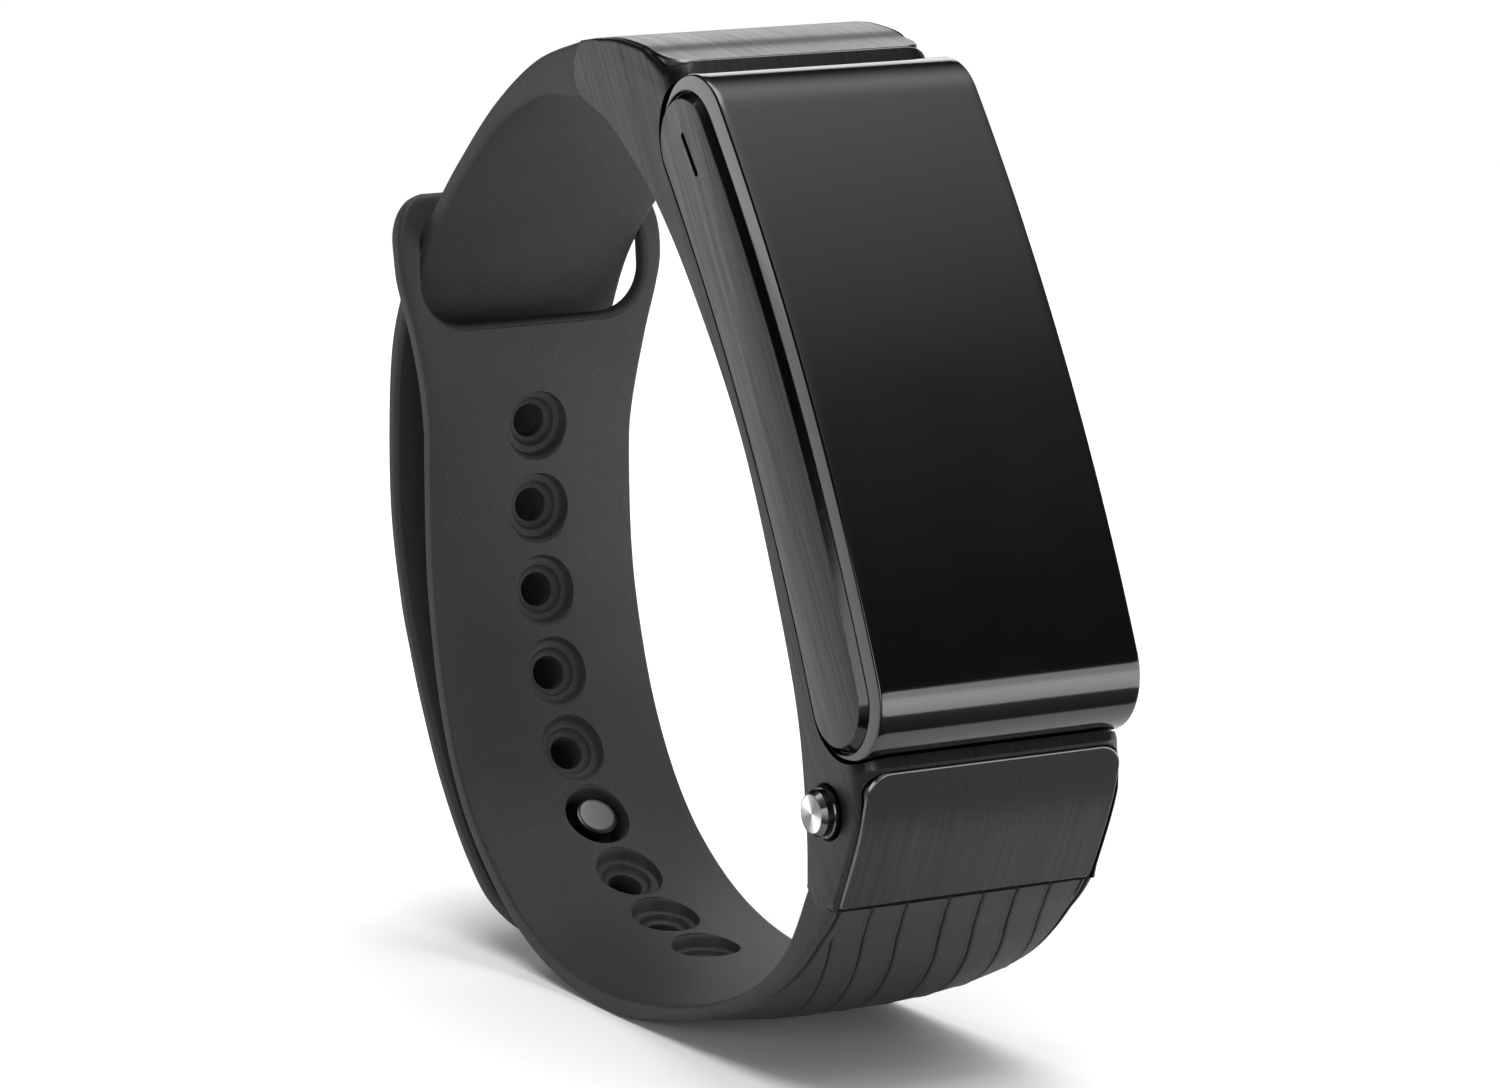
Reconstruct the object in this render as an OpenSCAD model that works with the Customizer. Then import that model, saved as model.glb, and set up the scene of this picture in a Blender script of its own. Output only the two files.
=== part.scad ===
// Fitness tracker band: a curved display pod that lifts out of a metal cradle, and a
// two-piece strap that closes with a loop, nine stepped holes and a stud.
// X runs across the wrist and +Z is up. The display faces -Y and leans back.
// The origin is on the ground, under the middle of the closed hoop.

/* [Band] */
// Width of the cradle, and of the straps where they meet it
band_w = 21; // [20.8:0.1:21.4]
// Thickness of the straps away from the cradle
strap_t = 1.5; // [1.4:0.05:1.6]
// Thickness of the loose tail
tail_t = 1.3; // [1.1:0.05:1.4]
// Width of the loose tail
tail_w = 18; // [17:0.2:18.2]

/* [Pod] */
// Width of the pod without its side plates
pod_w = 20.6; // [20:0.1:20.6]
// Thickness of the pod
pod_t = 8.7; // [8.4:0.05:8.7]
// Radius of the pod's curved mid-line
pod_radius = 160; // [150:5:180]
// Height of the centre of the pod's round end above the pod's middle
end_s = 20.4; // [20:0.1:20.4]
// Thickness of the display glass
glass_t = 1.2; // [1:0.05:1.2]
// How far a side plate stands out of the pod's side
plate_proud = 0.45; // [0.3:0.05:0.5]

/* [Cradle] */
// Clearance around the docked pod
dock_gap = 0.15; // [0.1:0.01:0.2]
// Thickness of the two shoulder plates
shoulder_t = 0.6; // [0.5:0.05:0.7]
// Radius of a release button's bright face
button_r = 1.36; // [1.2:0.02:1.4]
// How far a release button stands out of the cradle's side
button_out = 1.25; // [1:0.05:1.4]
// Travel of a release button
button_travel = 0.8; // [0.6:0.05:0.8]

/* [Strap holes] */
// Number of holes in the lower strap
hole_count = 9; // [7:1:9]
// Distance between two holes along the strap
hole_pitch = 6.35; // [6.1:0.05:6.4]
// Diameter of the wide step of a hole
hole_wide_d = 4.9; // [4.6:0.1:5]
// Diameter of the narrow step of a hole
hole_neck_d = 2.4; // [2.2:0.1:2.6]
// Diameter of the stud's head
stud_d = 3.2; // [3:0.1:3.2]

/* [Hidden] */
$fn = 48;

// The cradle's own frame leans back about X. Its points are [n, s]: n outwards through
// the display, s upwards along it.
lean = 30;
cradle_y = -1.2;
cradle_z = 34.8;
// Moves the straps' points so that the origin is under the middle of the hoop
strap_shift = [-0.1, -0.1, 0];

// Pod
mid_n = 25.55;
bend = asin(end_s / pod_radius);
pod_centre = [mid_n - pod_radius, 0];
glass_back_n = 22.45;
glass_fit = 0.05;
wall_t = 1.05;
cavity_w = 17.8;
plate_in = 0.6;
plate_face_inset = 1.2;
plate_base_inset = 0.8;
plate_shift = 0.9;
plate_fit = 0.05;
slit_ends = [[23.6, 20.85], [24, 17.85]];
slit_r = 0.22;
panel_half = [6, 15];
panel_t = 0.8;
window_play = 0.1;
key_at = [24.2, 6];
key_half = 1.6;
key_r = 0.9;
key_x = [9, pod_w / 2 + 0.8];
key_play = 0.1;
contact_xs = [-4.5, -1.5, 1.5, 4.5];
contact_s = -5;
contact_r = 0.75;
contact_n = [21.23, 23.43];
contact_hole_n = [20.2, 23.55];
// Inner pieces: boxes as two corners [x, n, s], round cans as [s, r, n0, n1]
board_box = [[-7.5, 25.6, -16], [7.5, 26.4, 16]];
battery_box = [[-6.5, 23.62, -11], [6.5, 25.5, 11]];
microphone_box = [[-8.8, 23, 17.3], [-7.8, 25.4, 20.2]];
speaker_can = [15.5, 4, 23.15, 25.35];
motor_can = [-15.5, 3.5, 23.2, 25.2];

// Cradle outline
wrist_points = [
    [11.5, 29], [14.4, 25.4], [17.4, 18.6], [19.2, 10], [20.1, 0],
    [19.3, -10], [17.8, -19], [15.2, -26], [13.1, -30]
];
low_points = [[15.5, -32.75], [18.3, -30.9], [20.4, -29.4], [22.2, -27.85], [24.4, -25.65]];
top_points = [[24.5, 25.9], [22.1, 27.65], [20.5, 29.05], [17.2, 31.15], [13.2, 32.75]];
// Each shoulder's plate is laid out along the chord between two of these points
top_from = top_points[0];
top_to = top_points[3];
low_from = low_points[4];
low_to = low_points[0];
low_seam = [[14, -32.2], [15.1, -32.35]];
top_seam = [11.3, 31.4];

// Shoulder plates: u runs from the pod's side of the shoulder towards the strap
plate_start = 0.35;
plate_gap = 0.12;
plate_side_gap = 0.4;
plate_corner = 1.8;
plate_heel = 0.4;
top_plate_u = 12.7;
low_plate_u = 11.25;
low_recess_u = 11.75;
screw_r = 0.6;
screw_head_r = 1.15;
screw_head_t = 0.9;
screw_play = 0.03;
screw_tip = 0.35;
boss_r = 1.1;
boss_end = shoulder_t + 1.6;
top_screw = [20.9, 28.7];
low_screw = [20.2, -29.5];
top_screw_x = 6;
low_screw_x = 2.8;
top_screw_length = 8.1;
low_screw_length = 6.8;

// Release buttons
button_at = [18.2, -26.4];
button_shaft_r = 1.62;
collar_r = 1.78;
bore_r = 1.86;
collar_out = 0.4;
collar_x = [6.9, band_w / 2 + collar_out];
bore_end_x = 5;
face_t = 0.3;
spring_r = [1, 1.5];
nose_x = [7.4, 9];
nose_t = 1;
nose_gap = 0.12;
slot_play = 0.1;

// Strap anchors
tongue_half_w = 8.4;
tongue_t = 1.2;
tongue_root = 1.2;
bead_r = 1.15;
anchor_play = 0.05;
pin_r = 0.6;
pin_play = 0.02;
pin_x = [-9, band_w / 2 - 0.2];
top_anchor = [[12, 31.65], [13.65, 29.65]];
low_anchor = [[14.1, -31.5], [15.35, -29.45]];

// Straps: each point is [y, z, thickness] on the side that faces the wrist
lower_points = [
    [31.6, 55.8, strap_t], [30.9, 53.4, strap_t], [30.3, 51, strap_t], [30.1, 47.5, strap_t],
    [30.2, 42.4, strap_t], [30.6, 34.4, strap_t], [29.9, 25, strap_t], [26.9, 15.4, strap_t],
    [21.8, 8.4, strap_t], [13.7, 3.4, strap_t], [3.5, 1.6, strap_t], [-8.3, 2.9, 1.7],
    [-18, 5.9, 2], [-24, 10, 2.6]
];
upper_points = [
    [10.9, 65.1, 2.8], [17.9, 62.3, 1.8], [23.8, 57.9, strap_t], [27.6, 54.3, strap_t],
    [30.5, 51.3, strap_t], [32.8, 48, strap_t], [34.7, 43.5, strap_t], [35.5, 37.5, tail_t],
    [35.3, 31, tail_t], [33.9, 24.9, tail_t]
];
tail_points = [
    [32.4, 21.1, tail_t], [30.7, 17.4, tail_t], [27.9, 12.5, tail_t], [24, 7.7, tail_t],
    [19.3, 4, tail_t], [14.5, 1.45, tail_t]
];
fold_gap = 0.1;
fold_steps = 8;
strap_steps = 4;
split_y = 21.5;
// Half widths against height on the rear half of the lower strap, with the loop's head
rear_widths = [
    [8.95, 0], [8.95, 10], [8.7, 20], [8.55, 27], [8.5, 35], [8.6, 38], [9.1, 41.5],
    [9.8, 44.8], [10.5, 47.4], [10.95, 49.4], [11.05, 51.4], [10.9, 53.1], [10.2, 54.6],
    [9, 55.6], [7.6, 56]
];
// Half widths against depth on the front half of the lower strap and on the upper strap
low_widths = [[10.5, -40], [10.5, -27], [10.3, -16], [9.8, -1], [9.3, 11], [8.95, split_y]];
top_widths = [[10.5, -5], [10.5, 3.5], [9.8, 10], [9.4, 18], [9.15, 26], [9, 32], [9, 50]];
loop_half_w = 9.35;
loop_z = [45.8, 53.9];
loop_low_r = 3.4;
loop_top_r = 1.6;
first_hole = 17.95;
wide_depth = 0.9;
// Height of the crown on the wrist's side of the lower strap, against path length
crown_heights = [
    [9, -0.1], [18, 0.7], [24.3, 0.9], [30.6, 1.2], [37, 1.5], [43.3, 1.7], [49.7, 1.8],
    [56, 1.85], [62.4, 1.8], [68.8, 1.6], [76, 1.2], [84, 0.7], [93, -0.1]
];
// The crown's cross-section: [share of the half width, share of the height]
crown_shape = [[-0.95, 0], [-0.75, 0.42], [-0.4, 0.83], [0, 1], [0.4, 0.83], [0.75, 0.42], [0.95, 0]];
crown_sink = 0.15;
crown_root = 0.5;
crown_step = 3;
used_hole = 5;
used_neck_r = 2.35;
tip_r = 7.6;
stud_neck_r = 1.1;
stud_head_t = 0.7;
washer_r = 2.6;
washer_gap = 0.08;
stud_in_tail = 0.9;
stud_sunk = 0.05;

function unit(v) = v / norm(v);
function shifted(list) = [for (p = list) p + strap_shift];
function flat(p) = [p[0], p[1]];
function left_of(v) = [-v[1], v[0]];
function reversed(list) = [for (i = [len(list) - 1:-1:0]) list[i]];
function without_first(list) = [for (i = [1:len(list) - 1]) list[i]];
function without_last(list) = [for (i = [0:len(list) - 2]) list[i]];
function way_of(a) = [cos(a), sin(a)];
function angle_of(v) = atan2(v[1], v[0]);
function arc(c, r, a0, a1, k) = [for (i = [1:k]) c + r * way_of(a0 + (a1 - a0) * i / k)];

// A smooth curve through a list of points, with k steps between neighbours
function blend(a, b, c, d, t) =
    0.5 * (2 * b + (c - a) * t + (2 * a - 5 * b + 4 * c - d) * t * t
    + (3 * b - a - 3 * c + d) * t * t * t);
function smooth(p, k) = concat(
    [for (i = [0:len(p) - 2], j = [0:k - 1])
        blend(p[max(i - 1, 0)], p[i], p[i + 1], p[min(i + 2, len(p) - 1)], j / k)],
    [p[len(p) - 1]]
);

// Points moved to the left of the way that a curve runs
function normal_at(p, i) =
    unit(left_of(flat(p[min(i + 1, len(p) - 1)]) - flat(p[max(i - 1, 0)])));
function moved(p, d) = [for (i = [0:len(p) - 1]) flat(p[i]) + d * normal_at(p, i)];
// One side of a strap: share 0 is the wrist's side, share 1 the outer side
function side(p, share) = [for (i = [0:len(p) - 1]) flat(p[i]) + share * p[i][2] * normal_at(p, i)];

// A straight bar with round ends, and a bar of half thickness h from a to a round bead at b
function round_ended(a, b, r) =
    let (w = angle_of(b - a))
    concat(
        [a + r * way_of(w - 90), b + r * way_of(w - 90)], arc(b, r, w - 90, w + 90, 10),
        [a + r * way_of(w + 90)], without_last(arc(a, r, w + 90, w + 270, 10))
    );
function beaded(a, b, h, r) =
    let (w = angle_of(b - a), neck = 180 - asin(h / r))
    concat(
        [a + h * way_of(w - 90), b + r * way_of(w - neck)],
        arc(b, r, w - neck, w + neck, 20), [a + h * way_of(w + 90)]
    );

// A point of the cradle's frame in the band's frame
function to_band(p) = [
    cradle_y - p[0] * cos(lean) + p[1] * sin(lean),
    cradle_z + p[0] * sin(lean) + p[1] * cos(lean)
];

// The pod's outline, grown by g and moved back by d
function pod_outline(g, d = 0) =
    let (
        h = pod_t / 2 + g,
        mid = pod_centre - [d, 0],
        top = mid + pod_radius * [cos(bend), sin(bend)],
        low = mid + pod_radius * [cos(bend), -sin(bend)]
    )
    concat(
        arc(mid, pod_radius + h, -bend, bend, 10),
        arc(top, h, bend, bend + 180, 24),
        arc(mid, pod_radius - h, bend, -bend, 10),
        arc(low, h, 180 - bend, 360 - bend, 24)
    );

wrist_curve = smooth(wrist_points, 4);
low_curve = smooth(low_points, 3);
top_curve = smooth(top_points, 3);
cradle_outline = concat(wrist_curve, low_seam, low_curve, top_curve, [top_seam]);

low_end = wrist_points[len(wrist_points) - 1];
lower_path = smooth(concat(shifted(lower_points), [concat(to_band(low_end), [3.4])]), strap_steps);
upper_start = concat(to_band(wrist_points[0]), [4.1]);
upper_path = smooth(
    concat([upper_start], shifted(upper_points), [tail_points[0] + strap_shift]), strap_steps
);
tail_path = smooth(shifted(tail_points), strap_steps);

// The fold line runs through the middle of the strap where the tail begins
fold = flat(tail_path[0]) + tail_t / 2 * normal_at(tail_path, 0);
fold_out = normal_at(tail_path, 0);
fold_angle = atan2(fold_out[1], fold_out[0]);
cup_r = tail_t / 2 + fold_gap;
cup_angle = asin(tail_t / 2 / cup_r);
cup_from = fold_angle + 90 + cup_angle;
cup_to = fold_angle + 90 - cup_angle;

// Lengths along the lower strap, and where its holes lie
function stretch(p, i) = i < len(p) - 1 ? norm(flat(p[i + 1]) - flat(p[i])) : 0;
lengths = [for (i = 0, s = 0; i < len(lower_path); s = s + stretch(lower_path, i), i = i + 1) s];
along_y = [for (i = [0:len(lengths) - 1]) [lengths[i], lower_path[i][0]]];
along_z = [for (i = [0:len(lengths) - 1]) [lengths[i], lower_path[i][1]]];
function on_lower(s) = [lookup(s, along_y), lookup(s, along_z)];
function hole_s(i) = first_hole + i * hole_pitch;
function hole_out(i) = out_at(hole_s(i));
function hole_rise(i) = crown_at(hole_s(i));

function crown_at(s) = lookup(s, crown_heights);
function out_at(s) = unit(left_of(on_lower(s + 1) - on_lower(s - 1)));
function swapped(list) = [for (p = list) [p[1], p[0]]];
function half_width(at) = at[0] > split_y
    ? lookup(at[1], swapped(rear_widths))
    : lookup(at[0], swapped(low_widths));
function crown_ring(s) =
    let (
        at = on_lower(s),
        half = half_width(at),
        last = crown_shape[len(crown_shape) - 1][0],
        rise = crown_at(s) + crown_sink,
        heights = concat([for (p = crown_shape) [p[0], p[1] * rise - crown_sink]],
            [[last, -crown_root], [-last, -crown_root]])
    )
    [for (p = heights) let (q = at - p[1] * out_at(s)) [p[0] * half, q[0], q[1]]];

module in_cradle() {
    translate([0, cradle_y, cradle_z])
        rotate([-lean, 0, 0])
            children();
}

// An outline in the Y-Z plane, extruded across the band
module across(points, w) {
    rotate([90, 0, 90])
        linear_extrude(w, center = true)
            polygon(points);
}

// An [n, s] outline of the cradle's frame, extruded from x0 to x1
module profile(points, x0, x1) {
    translate([x0, 0, 0])
        rotate([90, 0, 90])
            linear_extrude(x1 - x0)
                polygon([for (p = points) [-p[0], p[1]]]);
}

// All of the cradle's frame from n0 inwards
module behind(n0) {
    translate([-20, -n0, -40])
        cube([40, 40, 80]);
}

// A box of the cradle's frame between two corners [x, n, s]
module block(a, b) {
    translate([a[0], -b[1], a[2]])
        cube([b[0] - a[0], b[1] - a[1], b[2] - a[2]]);
}

// A round rod along X, and a straight slot with round ends
module rod(at, x0, x1, r) {
    translate([x0, -at[0], at[1]])
        rotate([0, 90, 0])
            cylinder(h = x1 - x0, r = r);
}

module slot(a, b, x0, x1, r) {
    profile(round_ended(a, b, r), x0, x1);
}

// A round post square to the display, at x and s, from n0 to n1
module post(x, s, n0, n1, r) {
    translate([x, -n0, s])
        rotate([90, 0, 0])
            cylinder(h = n1 - n0, r = r);
}

// ---- Pod ----

module side_plate() {
    intersection() {
        profile(pod_outline(-plate_base_inset, plate_shift), pod_w / 2 - plate_in, pod_w / 2);
        profile(pod_outline(0), 0, pod_w);
    }
    profile(pod_outline(-plate_face_inset, plate_shift), pod_w / 2 - plate_in, pod_w / 2 + plate_proud);
}

module side_plate_left() {
    color("dimgray")
        in_cradle()
            difference() {
                mirror([1, 0, 0])
                    side_plate();
                slot(slit_ends[0], slit_ends[1], -pod_w, 0, slit_r);
            }
}

module side_plate_right() {
    color("dimgray")
        in_cradle()
            difference() {
                side_plate();
                key_slot(key_play);
            }
}

module key_slot(play) {
    slot(key_at - [0, key_half], key_at + [0, key_half], key_x[0] - 1, pod_w, key_r + play);
}

module plate_seat() {
    profile(pod_outline(plate_fit - plate_base_inset, plate_shift), pod_w / 2 - plate_in - plate_fit, pod_w);
}

module display_glass() {
    color("black")
        in_cradle()
            difference() {
                profile(pod_outline(0), -pod_w / 2, pod_w / 2);
                profile(pod_outline(-glass_t), -pod_w, pod_w);
                behind(glass_back_n);
                plate_seat();
                mirror([1, 0, 0])
                    plate_seat();
            }
}

module display_panel() {
    color("midnightblue")
        in_cradle()
            intersection() {
                difference() {
                    profile(pod_outline(-glass_t - glass_fit), -panel_half[0], panel_half[0]);
                    profile(pod_outline(-glass_t - glass_fit - panel_t), -pod_w, pod_w);
                }
                block([-panel_half[0], mid_n, -panel_half[1]], [panel_half[0], mid_n + pod_t, panel_half[1]]);
            }
}

module pod_housing() {
    window = [panel_half[0] + window_play, panel_half[1] + window_play];
    color("darkslategray")
        in_cradle()
            difference() {
                union() {
                    intersection() {
                        profile(pod_outline(0), -pod_w / 2, pod_w / 2);
                        behind(glass_back_n);
                    }
                    profile(pod_outline(-glass_t - glass_fit), -pod_w / 2, pod_w / 2);
                }
                profile(pod_outline(-glass_t - wall_t), -cavity_w / 2, cavity_w / 2);
                plate_seat();
                mirror([1, 0, 0])
                    plate_seat();
                block([-window[0], mid_n + 0.4, -window[1]], [window[0], mid_n + pod_t, window[1]]);
                slot(slit_ends[0], slit_ends[1], -pod_w, -cavity_w / 2 + 1, slit_r);
                key_slot(key_play);
                for (x = contact_xs)
                    post(x, contact_s, contact_hole_n[0], contact_hole_n[1], contact_r);
            }
}

module main_board() {
    color("darkgreen")
        in_cradle()
            block(board_box[0], board_box[1]);
}

module battery() {
    color("silver")
        in_cradle()
            block(battery_box[0], battery_box[1]);
}

module microphone() {
    color("gold")
        in_cradle()
            block(microphone_box[0], microphone_box[1]);
}

module can(values) {
    post(0, values[0], values[2], values[3], values[1]);
}

module speaker() {
    color("gray")
        in_cradle()
            can(speaker_can);
}

module vibration_motor() {
    color("silver")
        in_cradle()
            can(motor_can);
}

module charge_contacts() {
    color("gold")
        in_cradle()
            for (x = contact_xs)
                post(x, contact_s, contact_n[0], contact_n[1], contact_r);
}

module power_key() {
    color("dimgray")
        in_cradle()
            slot(key_at - [0, key_half], key_at + [0, key_half], key_x[0], key_x[1], key_r);
}

// ---- Cradle ----

// Plan of a shoulder plate: r0 rounds the pod's end and r1 the strap's end
function plan(hw, u0, u1, r0, r1) = concat(
    arc([hw - r0, u0 + r0], r0, -90, 0, 8),
    arc([hw - r1, u1 - r1], r1, 0, 90, 4),
    [[-hw + r1, u1]],
    arc([-hw + r1, u1 - r1], r1, 90, 180, 4),
    [[-hw, u0 + r0]],
    arc([-hw + r0, u0 + r0], r0, 180, 270, 8),
    [[hw - r0, u0]]
);

module plan_prism(from, to, points) {
    way = to - from;
    translate([0, -from[0], from[1]])
        rotate([atan2(way[1], -way[0]), 0, 0])
            linear_extrude(8, center = true)
                polygon(points);
}

module shoulder_plate(curve, from, to, u1) {
    intersection() {
        profile(concat(curve, reversed(moved(curve, shoulder_t))), -band_w / 2, band_w / 2);
        plan_prism(from, to, plan(band_w / 2 - plate_side_gap, plate_start, u1, plate_corner, plate_heel));
    }
}

module shoulder_recess(curve, from, to, u1) {
    intersection() {
        profile(concat(moved(curve, -1), reversed(moved(curve, shoulder_t))), -band_w, band_w);
        plan_prism(from, to, plan(
            band_w / 2 + 0.05, plate_start - plate_gap, u1 + plate_gap, plate_corner + plate_gap, plate_heel
        ));
    }
}

// A rod from the shoulder towards the wrist, square to the shoulder's face
module shoulder_rod(at, from, to, x, d0, d1, r) {
    way = to - from;
    translate([x, -at[0], at[1]])
        rotate([atan2(way[1], -way[0]), 0, 0])
            translate([0, 0, d0])
                cylinder(h = d1 - d0, r = r);
}

module top_rods(d0, d1, r) {
    for (x = [-top_screw_x, top_screw_x])
        shoulder_rod(top_screw, top_from, top_to, x, d0, d1, r);
}

module low_rods(d0, d1, r) {
    for (x = [-low_screw_x, low_screw_x])
        shoulder_rod(low_screw, low_to, low_from, x, d0, d1, r);
}

module cradle_frame() {
    color("dimgray")
        in_cradle()
            difference() {
                profile(cradle_outline, -band_w / 2, band_w / 2);
                profile(pod_outline(dock_gap), -band_w, band_w);
                shoulder_recess(top_curve, top_from, top_to, top_plate_u);
                shoulder_recess(low_curve, low_from, low_to, low_recess_u);
                button_hole();
                mirror([1, 0, 0])
                    button_hole();
                top_rods(-top_screw_length - 3, screw_head_t - top_screw_length, screw_head_r + screw_play);
                low_rods(-low_screw_length - 3, screw_head_t - low_screw_length, screw_head_r + screw_play);
                top_rods(-top_screw_length, 0, screw_r + screw_play);
                low_rods(-low_screw_length, 0, screw_r + screw_play);
                top_rods(-boss_end - screw_play, 0, boss_r + screw_play);
                low_rods(-boss_end - screw_play, 0, boss_r + screw_play);
                anchor(top_anchor, anchor_play);
                anchor(low_anchor, anchor_play);
                rod(top_anchor[1], pin_x[0] - pin_play, band_w, pin_r + pin_play);
                rod(low_anchor[1], pin_x[0] - pin_play, band_w, pin_r + pin_play);
            }
}

module top_plate() {
    color("darkgray")
        in_cradle()
            difference() {
                union() {
                    shoulder_plate(top_curve, top_from, top_to, top_plate_u);
                    top_rods(-boss_end, -shoulder_t / 2, boss_r);
                }
                top_rods(-boss_end - 1, -screw_tip, screw_r);
            }
}

module bottom_plate() {
    color("darkgray")
        in_cradle()
            difference() {
                union() {
                    shoulder_plate(low_curve, low_from, low_to, low_plate_u);
                    low_rods(-boss_end, -shoulder_t / 2, boss_r);
                }
                low_rods(-boss_end - 1, -screw_tip, screw_r);
            }
}

module plate_screws() {
    color("silver")
        in_cradle() {
            top_rods(-top_screw_length, screw_head_t - top_screw_length, screw_head_r);
            top_rods(-top_screw_length, -screw_tip, screw_r);
            low_rods(-low_screw_length, screw_head_t - low_screw_length, screw_head_r);
            low_rods(-low_screw_length, -screw_tip, screw_r);
        }
}

// ---- Release buttons ----

module latch_bar(from_r, to_r, x0, x1, t) {
    way = pod_centre + pod_radius * [cos(bend), -sin(bend)] - button_at;
    translate([x0, -button_at[0], button_at[1]])
        rotate([atan2(way[1], -way[0]), 0, 0])
            translate([0, from_r, -t / 2])
                cube([x1 - x0, to_r - from_r, t]);
}

function latch_reach() =
    norm(pod_centre + pod_radius * [cos(bend), -sin(bend)] - button_at) - pod_t / 2;

module button_hole() {
    rod(button_at, bore_end_x, band_w, bore_r);
    slot_x = [nose_x[0] - button_travel - slot_play, nose_x[1] + slot_play];
    latch_bar(0, latch_reach(), slot_x[0], slot_x[1], nose_t + 2 * slot_play);
}

module release_button() {
    difference() {
        union() {
            rod(button_at, collar_x[0], collar_x[1], collar_r);
            rod(button_at, collar_x[0], band_w / 2 + button_out, button_shaft_r);
            latch_bar(0, latch_reach() - nose_gap, nose_x[0], nose_x[1], nose_t);
        }
        rod(button_at, band_w / 2 + button_out - face_t, band_w, button_r);
    }
}

module release_button_left() {
    color("gray")
        in_cradle()
            mirror([1, 0, 0])
                release_button();
}

module release_button_right() {
    color("gray")
        in_cradle()
            release_button();
}

module button_face() {
    rod(button_at, band_w / 2 + button_out - face_t, band_w / 2 + button_out, button_r);
}

module button_face_left() {
    color("whitesmoke")
        in_cradle()
            mirror([1, 0, 0])
                button_face();
}

module button_face_right() {
    color("whitesmoke")
        in_cradle()
            button_face();
}

module release_spring() {
    difference() {
        rod(button_at, bore_end_x, collar_x[0], spring_r[1]);
        rod(button_at, bore_end_x - 1, collar_x[0] + 1, spring_r[0]);
    }
}

module release_spring_left() {
    color("silver")
        in_cradle()
            mirror([1, 0, 0])
                release_spring();
}

module release_spring_right() {
    color("silver")
        in_cradle()
            release_spring();
}

// ---- Straps ----

// A tongue that runs from the strap into the cradle and ends in a bead
module anchor(ends, play) {
    root = ends[0] - tongue_root * unit(ends[1] - ends[0]);
    half = tongue_half_w + play;
    profile(beaded(root, ends[1], tongue_t / 2 + play, bead_r + play), -half, half);
}

module anchor_pin(at) {
    rod(at, pin_x[0], pin_x[1], pin_r);
}

module upper_anchor_pin() {
    color("silver")
        in_cradle()
            anchor_pin(top_anchor[1]);
}

module lower_anchor_pin() {
    color("silver")
        in_cradle()
            anchor_pin(low_anchor[1]);
}

// A prism whose half widths follow a list of [half width, place]
function both_sides(widths) = concat(widths, [for (p = reversed(widths)) [-p[0], p[1]]]);

// Prism that stands up through the X-Y outline, and one that runs along Y
module upright_prism(widths) {
    translate([0, 0, -10])
        linear_extrude(90)
            polygon(both_sides(widths));
}

module level_prism(widths, y0, y1) {
    translate([0, y1, 0])
        rotate([90, 0, 0])
            linear_extrude(y1 - y0)
                polygon(both_sides(widths));
}

module loop_opening() {
    level_prism(concat(
        arc([loop_half_w - loop_low_r, loop_z[0] + loop_low_r], loop_low_r, -90, 0, 8),
        arc([loop_half_w - loop_top_r, loop_z[1] - loop_top_r], loop_top_r, 0, 90, 6)
    ), 24, 40);
}

// Puts its children at a hole, with +Z outwards and 0 on the wrist's side
module at_hole(i) {
    at = on_lower(hole_s(i));
    out = hole_out(i);
    translate([0, at[0], at[1]])
        rotate([atan2(-out[0], out[1]), 0, 0])
            children();
}

module strap_hole(rise, neck_r) {
    translate([0, 0, -rise - 2])
        cylinder(h = 2 + wide_depth, d = hole_wide_d);
    translate([0, 0, -rise - 2])
        cylinder(h = rise + 5, r = neck_r);
}

// The thicker middle of the lower strap, as rings joined along its path
module crown() {
    start = crown_heights[0][0];
    end = crown_heights[len(crown_heights) - 1][0];
    rings = [for (s = [start:crown_step:end]) crown_ring(s)];
    n = len(rings[0]);
    top = (len(rings) - 1) * n;
    corners = [for (a = [0:n:top - n], j = [0:n - 1]) [a + j, a + (j + 1) % n]];
    polyhedron(
        [for (ring = rings, p = ring) p],
        concat(
            [for (c = corners) [c[0], c[1], c[1] + n]],
            [for (c = corners) [c[0], c[1] + n, c[0] + n]],
            [[for (j = [n - 1:-1:0]) j]],
            [[for (j = [0:n - 1]) top + j]]
        )
    );
}

module lower_strap() {
    outer = side(lower_path, 1);
    color("dimgray")
        difference() {
            union() {
                intersection() {
                    across(concat(
                        side(lower_path, 0),
                        [for (p = low_seam) to_band(p)],
                        [to_band(low_points[0])],
                        reversed(without_last(without_last(outer)))
                    ), 30);
                    union() {
                        level_prism(smooth(rear_widths, 3), split_y, 50);
                        intersection() {
                            upright_prism(smooth(low_widths, 4));
                            translate([-20, split_y - 80, -10])
                                cube([40, 80, 90]);
                        }
                    }
                }
                crown();
                in_cradle()
                    anchor(low_anchor, 0);
            }
            loop_opening();
            for (i = [0:hole_count - 1])
                at_hole(i)
                    strap_hole(hole_rise(i), i == used_hole ? used_neck_r : hole_neck_d / 2);
            in_cradle()
                rod(low_anchor[1], -band_w, band_w, pin_r + pin_play);
        }
}

module upper_strap() {
    inner = side(upper_path, 0);
    outer = side(upper_path, 1);
    color("dimgray")
        difference() {
            union() {
                intersection() {
                    across(concat(
                        without_last(inner),
                        arc(fold, cup_r, cup_from, cup_to, fold_steps),
                        reversed(without_last(without_first(without_first(outer)))),
                        [to_band(top_points[4]), to_band(top_seam)]
                    ), 30);
                    upright_prism(smooth(top_widths, 4));
                }
                in_cradle()
                    anchor(top_anchor, 0);
            }
            in_cradle()
                rod(top_anchor[1], -band_w, band_w, pin_r + pin_play);
        }
}

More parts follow.
